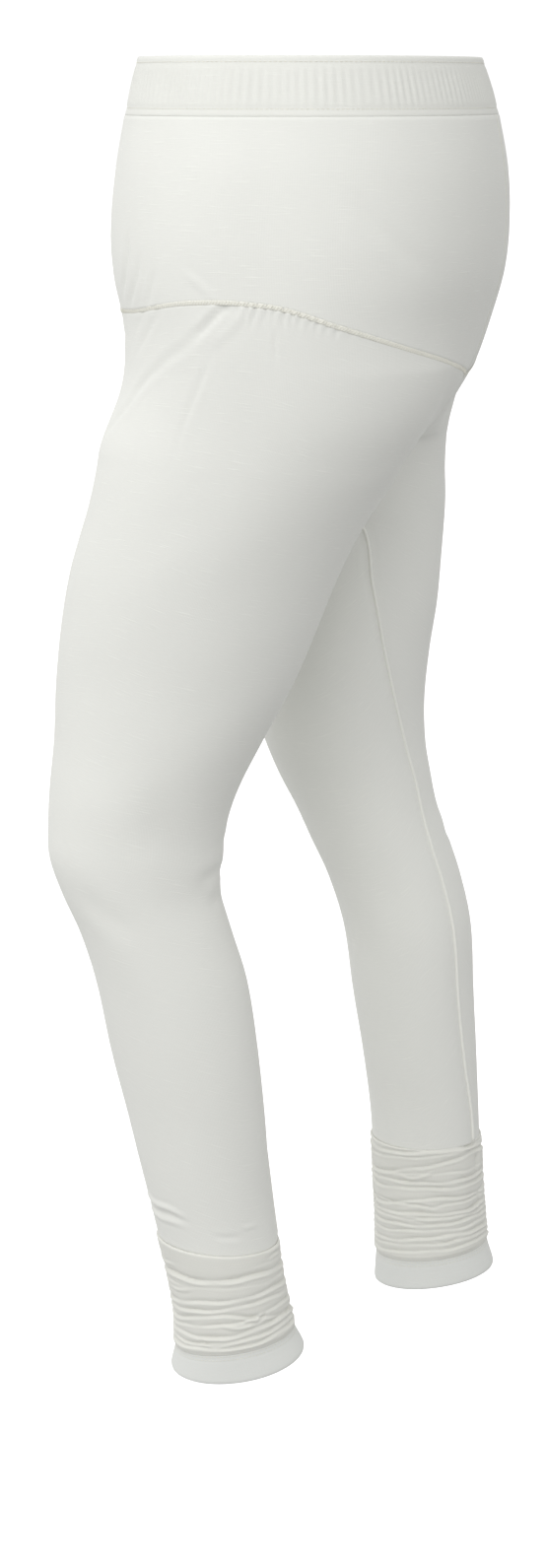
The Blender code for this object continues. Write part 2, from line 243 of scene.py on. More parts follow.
def jersey(name, shade, lit, ribs=900.0, slubs=1.0, relief=0.22, roughness=0.86):
    """A matt off-white jersey between two close tones, with its knit raised a little."""
    material = bpy.data.materials.new(name)
    material.use_nodes = True
    nodes, join = material.node_tree.nodes, material.node_tree.links.new
    shader = nodes["Principled BSDF"]
    shader.inputs["Roughness"].default_value = roughness
    shader.inputs["Sheen Weight"].default_value = 0.12
    shader.inputs["Sheen Roughness"].default_value = 0.6
    shader.inputs["Specular IOR Level"].default_value = 0.25
    knit = nodes.new("ShaderNodeGroup")
    knit.node_tree = KNIT
    knit.inputs["Ribs per metre"].default_value = ribs
    knit.inputs["Slubs"].default_value = slubs
    tones = nodes.new("ShaderNodeValToRGB")
    tones.color_ramp.elements[0].position = 0.25
    tones.color_ramp.elements[0].color = (*shade, 1.0)
    tones.color_ramp.elements[1].position = 0.85
    tones.color_ramp.elements[1].color = (*lit, 1.0)
    join(knit.outputs["Tone"], tones.inputs["Fac"])
    join(tones.outputs["Color"], shader.inputs["Base Color"])
    bump = nodes.new("ShaderNodeBump")
    bump.inputs["Strength"].default_value = relief
    bump.inputs["Distance"].default_value = 0.35 * MM
    join(knit.outputs["Height"], bump.inputs["Height"])
    join(bump.outputs["Normal"], shader.inputs["Normal"])
    return material


def dress(piece, material, node=None):
    """Gives a piece its material and its slot, and has it ride on the part's one body."""
    piece.data.materials.append(material)
    if node:
        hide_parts(node)
    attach(piece, "root")
    return piece


# A rice-shaped stitch, modelled once. Every row of stitches is made of copies of it.
bpy.ops.mesh.primitive_uv_sphere_add(segments=6, ring_count=5, radius=0.5)
bpy.ops.object.mode_set(mode="EDIT")
bpy.ops.transform.rotate(value=math.pi / 2, orient_axis="Y", center_override=(0, 0, 0))
bpy.ops.object.mode_set(mode="OBJECT")
stitch = bpy.context.object
STITCH_POINTS = np.array([v.co for v in stitch.data.vertices])
STITCH_FACES = [tuple(face.vertices) for face in stitch.data.polygons]
bpy.data.objects.remove(stitch)


def stitches(name, middles, ahead, out, size):
    """Copies of the stitch, one at each middle, lying ahead on the cloth, as one mesh."""
    across = np.cross(out, ahead)
    local = STITCH_POINTS * np.array([size.length, size.width, size.height]) * MM
    points = (
        middles[:, None]
        + ahead[:, None] * local[None, :, :1]
        + across[:, None] * local[None, :, 1:2]
        + out[:, None] * local[None, :, 2:]
    )
    each = len(STITCH_POINTS)
    faces = [[v + each * n for v in face] for n in range(len(middles)) for face in STITCH_FACES]
    mesh = bpy.data.meshes.new(name)
    mesh.from_pydata(points.reshape(-1, 3).tolist(), [], faces)
    mesh.shade_smooth()
    threads = bpy.data.objects.new(name, mesh)
    bpy.context.scene.collection.objects.link(threads)
    return threads


def spaced(path, out, step):
    """Evenly spaced middles along a path, each with the way ahead and the way out."""
    along = np.concatenate([[0], np.cumsum(np.linalg.norm(np.diff(path, axis=0), axis=1))])
    at = np.arange(step / 2, along[-1] / MM, step) * MM

    def read(values, places):
        return np.stack([np.interp(places, along, values[:, k]) for k in range(3)], axis=-1)

    middles = read(path, at)
    ways = read(out, at)
    ways /= np.linalg.norm(ways, axis=1, keepdims=True)
    ahead = read(path, at + HALF_READ * MM) - read(path, at - HALF_READ * MM)
    ahead -= ways * (ahead * ways).sum(axis=1, keepdims=True)
    ahead /= np.linalg.norm(ahead, axis=1, keepdims=True)
    return middles, ahead, ways


def sewing_thread(name, colour):
    """Spun cotton thread, a little creamier than the cloth."""
    material = bpy.data.materials.new(name)
    material.use_nodes = True
    nodes, join = material.node_tree.nodes, material.node_tree.links.new
    shader = nodes["Principled BSDF"]
    shader.inputs["Roughness"].default_value = 0.7
    shader.inputs["Sheen Weight"].default_value = 0.1
    place = nodes.new("ShaderNodeTexCoord")
    fibres = nodes.new("ShaderNodeTexNoise")
    fibres.inputs["Scale"].default_value = 900.0
    join(place.outputs["Object"], fibres.inputs["Vector"])
    tones = nodes.new("ShaderNodeValToRGB")
    tones.color_ramp.elements[0].position = 0.3
    tones.color_ramp.elements[0].color = (*(0.88 * c for c in colour), 1.0)
    tones.color_ramp.elements[1].position = 0.7
    tones.color_ramp.elements[1].color = (*colour, 1.0)
    join(fibres.outputs["Fac"], tones.inputs["Fac"])
    join(tones.outputs["Color"], shader.inputs["Base Color"])
    bump = nodes.new("ShaderNodeBump")
    bump.inputs["Strength"].default_value = 0.3
    bump.inputs["Distance"].default_value = 0.1 * MM
    join(fibres.outputs["Fac"], bump.inputs["Height"])
    join(bump.outputs["Normal"], shader.inputs["Normal"])
    return material


THREAD = sewing_thread("cream thread", (0.80, 0.79, 0.70))


def waist_outline(turn, drop):
    """Points round the waist at a turn from the front, in metres."""
    _, front, middle, back, side = read_table(TORSO, drop)
    across = np.abs(np.sin(turn)) ** (2 / TORSO_SQUARENESS)
    along = np.abs(np.cos(turn)) ** (2 / TORSO_SQUARENESS)
    x = side * across * np.sign(np.sin(turn))
    y = middle + (np.where(np.cos(turn) > 0, front, back) - middle) * along
    return np.stack([x, y, -drop], axis=-1) * MM


# Columns evenly spaced round the waist, so that the gathers are even too
fine_turns = np.linspace(0, 2 * math.pi, FINE_STEPS + 1)
outline = waist_outline(fine_turns, np.zeros_like(fine_turns))
gone = np.concatenate([[0], np.cumsum(np.linalg.norm(np.diff(outline, axis=0), axis=1))])
even_turns = np.interp(np.linspace(0, gone[-1], BAND_COLUMNS + 1), gone, fine_turns)
even_turns[-1] = even_turns[0]
depth = np.array([point.depth for point in CASING])[:, None]
height = BAND_FOOT - SEAM_GAP / 2 - BAND_TOP
drop = BAND_TOP + np.array([point.down for point in CASING])[:, None] * height
drop = drop + np.zeros((1, BAND_COLUMNS + 1))
turn = even_turns[None, :] + np.zeros_like(drop)
shell = waist_outline(turn, drop)
lean = waist_outline(turn, drop + 1) - waist_outline(turn, drop - 1)
along = np.roll(shell[:, :-1], -1, axis=1) - np.roll(shell[:, :-1], 1, axis=1)
along = np.concatenate([along, along[:, :1]], axis=1)
out = np.cross(lean, along)
out /= np.linalg.norm(out, axis=2, keepdims=True)
step_round = np.arange(BAND_COLUMNS + 1)[None, :] / BAND_COLUMNS * 2 * math.pi
wander = waves(step_round, BAND_WANDER) + BAND_GATHER_LEAN * drop
uneven = BAND_EVENNESS + waves(step_round, BAND_UNEVENNESS)
between_rows = np.clip(1 - (drop / BAND_GATHER_REACH) ** 2, 0, 1)
gathers = BAND_GATHER * uneven * between_rows * np.sin(BAND_GATHERS * step_round + wander)
dents = sum(np.exp(-(((drop - row) / BAND_STITCH_DENT_WIDTH) ** 2)) for row in BAND_STITCH_ROWS)
on_outside = depth < 0.2
outside_lift = gathers - BAND_STITCH_DENT * dents - BAND_SET_BACK
lift = np.where(on_outside, outside_lift, BAND_GATHER_INSIDE * gathers)
shell = shell + out * (lift - depth * BAND_WALL)[..., None] * MM
shell[:, -1] = shell[:, 0]
waistband = cloth_object("waistband_cloth", shell, -1, lengths_of(shell), BAND_CLOTH)
band_jersey = jersey(
    "waistband jersey", shade=(0.74, 0.745, 0.70), lit=(0.80, 0.805, 0.76), ribs=1100.0
)
dress(waistband, band_jersey, "waistband")

waist_rows = []
for row in BAND_STITCH_ROWS:
    nearest = int(np.argmin(np.abs(drop[:OUTSIDE_ROWS, 0] - row)))
    middles, ahead, ways = spaced(shell[nearest], out[nearest], BAND_STITCH.step)
    waist_rows.append((middles + ways * BAND_STITCH_PROUD * MM, ahead, ways))
waist_thread = stitches(
    "waistband_stitches", *(np.concatenate(part) for part in zip(*waist_rows)), BAND_STITCH
)
dress(waist_thread, THREAD)


# The hip yoke
# Two shaped pieces of the jersey, joined at the centre front and the centre back. They fit
# closely over the hip, with a few upright folds where they turn to the front.

# The worn outline of each leg at each drop: its front, middle and back, and its two sides
Section = namedtuple("Section", "drop front middle back inner outer")
LEGS = {
    "left": [
        Section(190, -117, 9, 134, SEAM_GAP / 2, 185),
        Section(225, -123, 2, 111, SEAM_GAP / 2, 183),
        Section(255, -129, -9, 90, SEAM_GAP / 2, 180),
        Section(264, -131, -13, 84, 3, 179),
        Section(280, -135, -20.5, 73, 5, 177.3),
        Section(305, -141, -33, 59, 7, 174.3),
        Section(340, -151, -48.5, 42, 10, 169.9),
        Section(380, -158, -61, 26, 13, 165.4),
        Section(420, -162, -73, 9, 17, 161.6),
        Section(460, -164, -84, -12, 23, 160),
        Section(495, -167, -96, -29, 30, 159),
        Section(520, -168, -102, -37, 35, 158),
        Section(545, -167, -104, -40, 39, 158),
        Section(570, -158, -101, -42, 43, 157),
        Section(600, -144, -92, -34, 45, 156),
        Section(640, -132, -78, -22, 46, 155),
        Section(690, -122, -66, -14, 48, 153),
        Section(740, -110, -59, -9, 51, 149),
        Section(790, -98, -51, -5, 54, 146),
        Section(830, -88, -44, 0, 56, 144),
        Section(870, -79, -36, 6, 57, 143),
        Section(905, -75, -30, 14, 56, 144),
        Section(945, -79, -28, 25, 53, 147),
    ],
    "right": [
        Section(190, -104, 4, 118, SEAM_GAP / 2, 185),
        Section(225, -100, 2, 104, SEAM_GAP / 2, 183),
        Section(255, -96, 1, 97, SEAM_GAP / 2, 180),
        Section(264, -95, 1, 96, 3, 179),
        Section(280, -93, 1, 95, 5, 177),
        Section(305, -90, 2, 95, 7, 173),
        Section(340, -84, 4, 93, 10, 169),
        Section(380, -75, 7, 90, 14, 165),
        Section(420, -65, 9, 84, 18, 163),
        Section(460, -54, 12, 80, 24, 161),
        Section(495, -43, 17, 81, 30, 160),
        Section(520, -33, 26, 85, 35, 160),
        Section(545, -20, 35, 90, 38, 160),
        Section(570, -9, 44, 98, 40, 161),
        Section(600, 5, 55, 108, 42, 162),
        Section(640, 18, 66, 117, 43, 163),
        Section(690, 25, 73, 120, 46, 160),
        Section(740, 33, 78, 123, 50, 154),
        Section(790, 40, 83, 126, 54, 148),
        Section(830, 43, 86, 128, 56, 145),
        Section(870, 45, 88, 131, 56, 144),
        Section(905, 46, 91, 135, 55, 145),
        Section(940, 44, 93, 141, 52, 148),
    ],
}

# The crotch, and how far above and below it the cloth is drawn over from one leg to the other
CROTCH = 255.0
CROTCH_Y = -6.0
CROTCH_PULL = 60.0
FRONT_RISE = 62.0
BACK_RISE = 88.0
SPREAD_RISE = 70.0
HIP_BLEND = 108.0
HIP_BRIDGE_FADE = 0.22

# The yoke seam round one half of the hip: share 0 is the centre front, 0.5 the side, 1 the back
SeamPoint = namedtuple("SeamPoint", "share drop")
YOKE_SEAM = [
    SeamPoint(0.0, 157),
    SeamPoint(0.25, 151),
    SeamPoint(0.4, 142),
    SeamPoint(0.5, 143),
    SeamPoint(0.6, 157),
    SeamPoint(0.75, 177),
    SeamPoint(1.0, 205),
]
SIDES = {"left": 1, "right": -1}
JERSEY_WALL = 1.2
LAP = 1.6
LAP_DEPTH = 1.3
YOKE_COLUMNS = 180
YOKE_ROWS = 56
YOKE_DEPTH = 125.0
YOKE_SLACK = 0.25
YOKE_SMOOTH_TOP = 6.0

# The cloth rolls in a little to the centre seams
HALF_HIP = 520.0
CENTRE_ROLL = 0.5
CENTRE_ROLL_WIDTH = 4.0

# Creases: how far each rises (below zero it sinks), its width, and its path of angles and drops.
# A crease fades over the same share of its length at both ends, with a low shoulder on each side.
CREASE_REACH = 4
CREASE_FADE = 0.35
SHOULDER = 0.28
SHOULDER_AT = 1.9
SHOULDER_SPREAD = 0.9
Crease = namedtuple("Crease", "rise width path")
YOKE_CREASES = {
    "left": [
        Crease(-1.5, 3.0, ((118, 92), (115, 115), (109, 130), (102, 146))),
        Crease(-1.1, 2.6, ((126, 108), (123, 126), (118, 139), (110, 152))),
        Crease(-0.9, 2.6, ((137, 118), (135, 131), (132, 141), (128, 150))),
        Crease(-0.5, 3.5, ((92, 80), (84, 100), (80, 124), (74, 150))),
        Crease(-0.4, 3.0, ((66, 112), (60, 130), (58, 152))),
        Crease(-0.5, 6.0, ((205, 60), (215, 88), (232, 110), (250, 128))),
        Crease(0.5, 2.5, ((150, 120), (158, 130), (164, 140))),
    ],
    "right": [
        Crease(-0.9, 3.0, ((112, 96), (110, 118), (104, 134), (98, 148))),
        Crease(-0.6, 2.8, ((127, 112), (124, 128), (121, 140))),
        Crease(-0.7, 2.6, ((140, 106), (138, 124), (131, 144))),
        Crease(-0.5, 3.2, ((86, 92), (80, 112), (77, 134), (70, 152))),
        Crease(-0.5, 6.5, ((212, 72), (220, 96), (240, 118), (262, 140))),
        Crease(-0.4, 4.0, ((188, 70), (196, 98), (206, 124))),
    ],
}


def ease(t):
    """Goes smoothly from 0 to 1 as t does."""
    t = np.clip(t, 0.0, 1.0)
    return t * t * (3 - 2 * t)


def place(side, angle, drop):
    """Points of the worn cloth of one side, in metres, before its creases."""
    angle, drop = np.broadcast_arrays(np.asarray(angle, float), np.asarray(drop, float))
    _, front, middle, back, inner, outer = read_table(LEGS[side], drop)
    _, hip_front, hip_middle, hip_back, hip_side = read_table(TORSO, drop)
    in_hip = drop < CROTCH
    at_front = np.where(in_hip, angle < 180, angle % 360 < 180)
    edge = np.where(at_front, front, back)
    turn = np.radians(angle)
    across = (1 - np.cos(turn)) / 2
    y = middle + (edge - middle) * np.abs(np.sin(turn))
    pull = 1 - ease((drop - CROTCH) / CROTCH_PULL)
    y = y + (CROTCH_Y - middle) * (1 - across) ** 2 * pull
    # Above the crotch the inner half of the leg opens out to the middle of the body
    hip_x = SEAM_GAP / 2 + (hip_side - SEAM_GAP / 2) * across
    hip_edge = np.where(at_front, hip_front, hip_back)
    rise = (FRONT_RISE + BACK_RISE) / 2 + (FRONT_RISE - BACK_RISE) / 2 * (1 - angle / 180)
    up = np.clip((CROTCH - drop) / rise, 0, 1)
    bridged = hip_edge + (edge - hip_edge) * np.sin(math.pi * across) ** 2
    bridging = np.sqrt(1 - (1 - up) ** 2) * ease((0.5 - across) / HIP_BRIDGE_FADE)
    hip_y = y + bridging * (bridged - y)
    squared = (1 - np.clip(hip_x / hip_side, 0, 1) ** TORSO_SQUARENESS) ** (1 / TORSO_SQUARENESS)
    oval_y = hip_middle + (hip_edge - hip_middle) * squared
    hip_y = hip_y + ease((CROTCH - drop) / HIP_BLEND) * (oval_y - hip_y)
    x = np.where(in_hip, hip_x, inner + (outer - inner) * across)
    return np.stack([SIDES[side] * x, np.where(in_hip, hip_y, y), -drop], axis=-1) * MM


def angle_of(share, drop):
    """A column's angle: even round a leg, and evenly spaced along the hip's outline above it."""
    half = np.minimum(share, 1 - share)
    spread = np.degrees(np.arccos(np.clip(1 - 2 * np.sin(math.pi * half), -1, 1)))
    spread = np.where(share <= 0.5, spread, 360 - spread)
    return 360 * share + ease((CROTCH - drop) / SPREAD_RISE) * (spread - 360 * share)


def crease_lift(creases, angle, drop, metres):
    """How far creases lift the cloth: a soft line along each path, with low shoulders beside it."""
    flat = metres.reshape(-1, 2) / MM
    lift = np.zeros(len(flat))
    for rise, width, path in creases:
        keys = []
        for n, (at_angle, at_drop) in enumerate(path):
            away = (angle - at_angle + 180) % 360 - 180
            nearest = np.argmin(away.ravel() ** 2 + (drop.ravel() - at_drop) ** 2)
            keys.append((n, *flat[nearest]))
        long = sum(math.dist(a[1:], b[1:]) for a, b in zip(keys, keys[1:]))
        line = read_table(keys, np.linspace(0, len(keys) - 1, int(long) + 4))[1:].T
        reach = CREASE_REACH * width
        near = np.all((flat > line.min(axis=0) - reach) & (flat < line.max(axis=0) + reach), axis=1)
        away = np.linalg.norm(flat[near][:, None] - line[None], axis=2)
        gone = away.argmin(axis=1) / (len(line) - 1)
        beside = away.min(axis=1) / width
        fade = ease(gone / CREASE_FADE) * ease((1 - gone) / CREASE_FADE)
        shoulder = SHOULDER * np.exp(-(((beside - SHOULDER_AT) / SHOULDER_SPREAD) ** 2))
        lift[near] += rise * fade * (np.exp(-(beside**2)) - shoulder)
    return lift.reshape(angle.shape)


def slack(angle, drop, amount):
    """The slight unevenness of worn cloth, which comes round to itself on a leg."""
    table = [
        Wave(0.5, 2, drop / 37),
        Wave(0.35, 3, 1.3 - drop / 23),
        Wave(0.2, 5, drop / 14 + 0.4),
        Wave(0.12, -1, drop / 9),
    ]
    return amount * waves(np.radians(angle), table)


def centre_roll(share):
    """How far the cloth sinks beside the centre seams, from the share of the way round."""
    from_seam = np.minimum(share, 1 - share)[None, :] * HALF_HIP
    return CENTRE_ROLL * (1 - ease(from_seam / CENTRE_ROLL_WIDTH))


yoke_share = np.linspace(0, 1, YOKE_COLUMNS + 1)
# The yoke's tones are a little darker than the legs' jersey: painted shade, for the shadow of a shirt
# over the hip
yoke_shaded_jersey = jersey("yoke jersey with painted shade", shade=(0.77, 0.775, 0.735), lit=(0.83, 0.835, 0.79))
yokes = {}
for side, mirror in SIDES.items():
    foot = read_table(YOKE_SEAM, yoke_share)[1] - SEAM_GAP / 2
    top = BAND_FOOT + SEAM_GAP / 2
    down = np.concatenate([[-LAP / YOKE_DEPTH], np.linspace(0, 1, YOKE_ROWS)])[:, None]
    drop = top + down * (foot - top)[None, :]
    angle = angle_of(yoke_share[None, :] + np.zeros_like(drop), drop)
    base = place(side, angle, drop)
    out = out_of(base, mirror)
    metres = lengths_of(base)
    lift = crease_lift(YOKE_CREASES[side], angle, drop, metres) + slack(angle, drop, YOKE_SLACK)
    lift = (lift - centre_roll(yoke_share)) * ease((drop - top) / YOKE_SMOOTH_TOP)
    lift[0] = -LAP_DEPTH
    points = base + out * lift[..., None] * MM
    points[:, [0, -1], 0] = base[:, [0, -1], 0]
    yoke = cloth_object(f"yoke_{side}_cloth", points, mirror, metres, JERSEY_WALL)
    dress(yoke, yoke_shaded_jersey, f"yoke_{side}")
    yokes[side] = (yoke, points)


# The legs
# One cut of jersey each, closed at the inseam and joined to each other along the crotch. They fit
# closely, so they have few creases: some from the hip and the groin, and some behind the knee.

# The inseam runs from the crotch to the back of the inner side: its angle at each drop
InseamPoint = namedtuple("InseamPoint", "drop angle")
INSEAM = [
    InseamPoint(255, 0),
    InseamPoint(319, -27),
    InseamPoint(363, -31.5),
    InseamPoint(407, -39),
    InseamPoint(486, -58),
    InseamPoint(528, -62),
    InseamPoint(588, -58),
    InseamPoint(690, -57),
    InseamPoint(747, -61),
    InseamPoint(798, -68),
    InseamPoint(960, -72),
]

# A slanted line round a leg: its drop at the inner side, its tilt in degrees, with the back higher
# where that is positive, and how far it dips at the outer side
Slant = namedtuple("Slant", "drop tilt dip", defaults=(0,))
CHURI_TOP = {"left": Slant(833, -4), "right": Slant(812, 0)}

# Share of the way round at each share of the columns: closest together over the gathers
COLUMN_SPREAD = [(0.0, 0.0), (0.32, 0.41), (0.72, 0.62), (1.0, 1.0)]
LEG_COLUMNS = 204
HIP_ROWS = 36
THIGH_ROWS = 142
SHIN_ROWS = 30
SHIN_DROP = 792.0
SHIN_LEAST = 30.0
LEG_SLACK = 0.3
LEG_SMOOTH_TOP = 4.0
LEG_LIFT_AT_SEAM = 0.1

LEG_CREASES = {
    "left": [
        Crease(-1.9, 2.8, ((173, 136), (168, 143), (164, 151), (158, 160), (150, 172))),
        Crease(-0.8, 3.4, ((160, 158), (151, 171), (140, 182), (127, 198), (116, 212))),
        Crease(0.6, 3.4, ((178, 142), (173, 152), (167, 162), (159, 174))),
        Crease(-0.5, 2.6, ((163, 166), (160, 185), (157, 203), (154, 228), (152, 262))),
        Crease(-0.9, 3.6, ((134, 186), (127, 200), (119, 216), (108, 234), (100, 250))),
        Crease(-0.5, 3.0, ((72, 166), (84, 171), (100, 174))),
        Crease(-0.8, 2.4, ((140, 146), (132, 156), (124, 170), (112, 186))),
        Crease(-0.5, 2.2, ((128, 146), (121, 156), (112, 168))),
        Crease(-0.5, 1.6, ((184, 156), (184, 168), (185, 186))),
        Crease(-1.6, 16.0, ((188, 470), (206, 515), (220, 545), (226, 600))),
        Crease(-0.8, 12.0, ((140, 560), (165, 575), (190, 590))),
        Crease(1.0, 2.0, ((98, 800), (122, 800), (150, 800), (172, 806))),
        Crease(-1.0, 2.0, ((92, 806), (120, 806), (148, 805), (176, 810))),
        Crease(0.7, 1.7, ((96, 814), (124, 811), (148, 811), (166, 813))),
        Crease(0.5, 1.6, ((216, 812), (226, 814), (238, 813))),
        Crease(-0.5, 2.0, ((186, 818), (204, 820), (222, 819))),
        Crease(-1.4, 5.0, ((60, 190), (48, 214), (34, 236), (22, 262))),
        Crease(-1.0, 5.0, ((80, 222), (62, 244), (44, 262), (28, 286))),
        Crease(-1.2, 6.0, ((300, 224), (318, 244), (328, 264), (334, 286))),
        Crease(-1.0, 7.0, ((256, 250), (280, 262), (304, 280), (322, 304))),
        Crease(-1.3, 4.5, ((236, 560), (252, 552), (272, 552), (292, 560))),
        Crease(-1.0, 4.0, ((246, 576), (264, 572), (290, 580))),
        Crease(-0.7, 4.0, ((250, 536), (270, 532), (292, 540))),
        Crease(-0.8, 4.0, ((304, 556), (322, 552), (338, 560))),
    ],
    "right": [
        Crease(-1.9, 3.2, ((174, 139), (169, 147), (164, 158), (156, 171), (149, 183))),
        Crease(-0.9, 3.6, ((155, 172), (144, 186), (133, 202), (124, 220))),
        Crease(0.5, 3.4, ((181, 144), (176, 157), (170, 169), (163, 181))),
        Crease(-0.5, 2.8, ((190, 158), (188, 180), (186, 205))),
        Crease(-0.6, 3.0, ((78, 166), (92, 171), (106, 172))),
        Crease(-0.7, 2.4, ((136, 148), (129, 160), (120, 174), (110, 188))),
        Crease(-1.3, 5.0, ((66, 186), (52, 208), (38, 232), (24, 258))),
        Crease(-1.0, 5.0, ((86, 214), (68, 236), (50, 258), (34, 280))),
        Crease(-1.2, 6.0, ((296, 226), (316, 246), (328, 268), (332, 292))),
        Crease(-0.5, 9.0, ((250, 240), (274, 256), (300, 280), (316, 310))),
        Crease(-1.0, 12.0, ((120, 500), (150, 530), (175, 560))),
        Crease(-1.2, 4.5, ((212, 566), (232, 560), (252, 566), (268, 576))),
        Crease(-0.9, 4.0, ((206, 584), (228, 580), (248, 588))),
        Crease(-0.7, 4.0, ((218, 546), (236, 541), (256, 549))),
        Crease(0.8, 2.0, ((110, 788), (138, 786), (164, 790))),
        Crease(-0.8, 2.0, ((104, 794), (134, 792), (168, 796))),
    ],
}

# Small gathers under the yoke seam: where each is, how deep and how long
Gather = namedtuple("Gather", "angle depth long lean")
GATHERS = {
    "left": [
        Gather(173.0, 0.6, 9, 1.0),
        Gather(176.2, 0.9, 14, 1.5),
        Gather(178.4, 1.0, 19, 2.0),
        Gather(180.8, 1.1, 17, 1.2),
        Gather(182.6, 0.8, 12, 0.6),
        Gather(185.5, 1.0, 15, -0.5),
        Gather(188.3, 0.8, 10, -0.8),
        Gather(191.0, 0.9, 13, 0.2),
        Gather(194.6, 0.7, 9, -0.6),
        Gather(197.4, 0.8, 11, 0.4),
        Gather(201.0, 0.6, 8, 0.0),
        Gather(205.2, 0.7, 9, 0.5),
        Gather(210.5, 0.5, 7, 0.3),
        Gather(216.0, 0.5, 8, -0.3),
        Gather(221.5, 0.4, 6, 0.2),
    ],
    "right": [
        Gather(171.0, 0.5, 8, 0.8),
        Gather(174.6, 0.8, 12, 1.2),
        Gather(177.8, 0.9, 16, 1.6),
        Gather(180.0, 1.0, 18, 0.9),
        Gather(183.4, 0.9, 13, 0.4),
        Gather(186.1, 0.7, 10, -0.6),
        Gather(190.2, 0.9, 14, -0.2),
        Gather(193.1, 0.7, 9, 0.3),
        Gather(197.9, 0.8, 12, -0.5),
        Gather(202.8, 0.6, 8, 0.4),
        Gather(208.2, 0.5, 9, 0.2),
        Gather(214.4, 0.5, 7, -0.2),
    ],
}
GATHER_DEPTH = 1.35
GATHER_WIDTH = 1.7
GATHER_CREST = 0.5
GATHER_CREST_AT = 1.6
GATHER_START = 1.5
INSEAM_DIP = 0.5


def slant_drop(side, angle, slant):
    """The drop of a slanted line round a leg."""
    drop = slant.drop + np.zeros_like(angle)
    dip = slant.dip * (1 - np.cos(np.radians(angle))) / 2
    for _ in range(3):
        middle = read_table(LEGS[side], drop)[2]
        y = place(side, angle, drop)[..., 1] / MM
        drop = slant.drop + dip - math.tan(math.radians(slant.tilt)) * (y - middle)
    return drop


def gather_lift(gathers, angle, drop, seam, metres):
    """Short troughs hanging from the yoke seam, each with a crest on either side."""
    lift = np.zeros_like(drop)
    below = drop - seam
    along = metres[..., 0] / MM
    for at, depth, long, lean in gathers:
        middle = np.interp(at, angle[0], along[0]) - 2 * lean * below / long
        fade = (1 - ease(below / long)) * ease(below / GATHER_START + 0.5)
        away = (along - middle) / GATHER_WIDTH
        crests = sum(np.exp(-((away + way * GATHER_CREST_AT) ** 2)) for way in (-1, 1))
        lift += GATHER_DEPTH * depth * fade * (GATHER_CREST * crests - np.exp(-(away**2)))
    return lift


leg_jersey = jersey("leg jersey", shade=(0.78, 0.785, 0.745), lit=(0.84, 0.845, 0.80))
columns = np.linspace(0, 1, LEG_COLUMNS + 1)
leg_share = np.interp(columns, *zip(*COLUMN_SPREAD))
legs = {}
for side, mirror in SIDES.items():
    seam = read_table(YOKE_SEAM, leg_share)[1] + SEAM_GAP / 2
    hip = seam + np.linspace(0, 1, HIP_ROWS, endpoint=False)[:, None] * (CROTCH - seam)
    shin_top = min(SHIN_DROP, CHURI_TOP[side].drop - SHIN_LEAST)
    thigh_share = np.linspace(0, 1, THIGH_ROWS, endpoint=False)[:, None]
    thigh = CROTCH + thigh_share * (shin_top - CROTCH) + 0 * seam
    shin_angle = 360 * leg_share + read_table(INSEAM, CHURI_TOP[side].drop + 0 * leg_share)[1]
    ankle = slant_drop(side, shin_angle, CHURI_TOP[side]) - SEAM_GAP / 2
    ankle[-1] = ankle[0]
    shin = shin_top + np.linspace(0, 1, SHIN_ROWS)[:, None] * (ankle - shin_top)
    drop = np.concatenate([hip, thigh, shin, ankle[None] + LAP])
    angle = angle_of(leg_share[None, :] + 0 * drop, drop) + read_table(INSEAM, drop)[1]
    tube = np.arange(HIP_ROWS, len(drop))
    base = place(side, angle, drop)
    base[tube, -1] = base[tube, 0]
    out = out_of(base, mirror, tube)
    metres = lengths_of(base)
    lift = crease_lift(LEG_CREASES[side], angle, drop, metres) + slack(angle, drop, LEG_SLACK)
    lift = lift * ease((drop - seam) / LEG_SMOOTH_TOP + LEG_LIFT_AT_SEAM)
    lift = lift + gather_lift(GATHERS[side], angle, drop, seam, metres)
    lift = lift - centre_roll(leg_share) * (drop < CROTCH)
    lift[tube, 0] = lift[tube, -1] = (lift[tube, 0] + lift[tube, -1]) / 2
    # The cloth dips beside the inseam
    lift[tube, 1] -= INSEAM_DIP
    lift[tube, -2] -= INSEAM_DIP
    lift[-1] = -LAP_DEPTH
    points = base + out * lift[..., None] * MM
    points[:HIP_ROWS, [0, -1], 0] = base[:HIP_ROWS, [0, -1], 0]
    points[tube, -1] = points[tube, 0]
    leg = cloth_object(f"leg_{side}_cloth", points, mirror, metres, JERSEY_WALL)
    dress(leg, leg_jersey, f"leg_{side}")
    legs[side] = (leg, points, out, tube)


# The ruched ankles
# The lower end of each leg is cut far too long and drawn up on its seam, so that it sits in
# bands of soft folds. Sharp valleys part the bands, and most of them fade on the way round.

HEM_TOP = {"left": Slant(910, 9), "right": Slant(904, 7)}
CHURI_COLUMNS = 196
CHURI_ROWS = 126
RUCHED_SLACK = 0.25

# The bands between the valleys stand out from the leg, less near the seam and not at their ends
PUFF = 1.8
PUFF_TOP = 2.2
PUFF_AT_TOP = 0.32
PUFF_FOOT = 4.0
TUCK = 1.0
TUCK_WIDTH = 24.0

# The valleys are sharp, with a low crest below each, and deeper near the seam that draws them up
VALLEY_SHARPNESS = 1.25
CREST = 0.34
CREST_AT = 1.8
CREST_SPREAD = 0.8
DEEPER = 0.35
DEEPER_WIDTH = 50.0

# They wander up and down and fade in and out round the ankle, each in its own way
VALLEY_WANDER = 0.8
VALLEY_FADE = 0.4

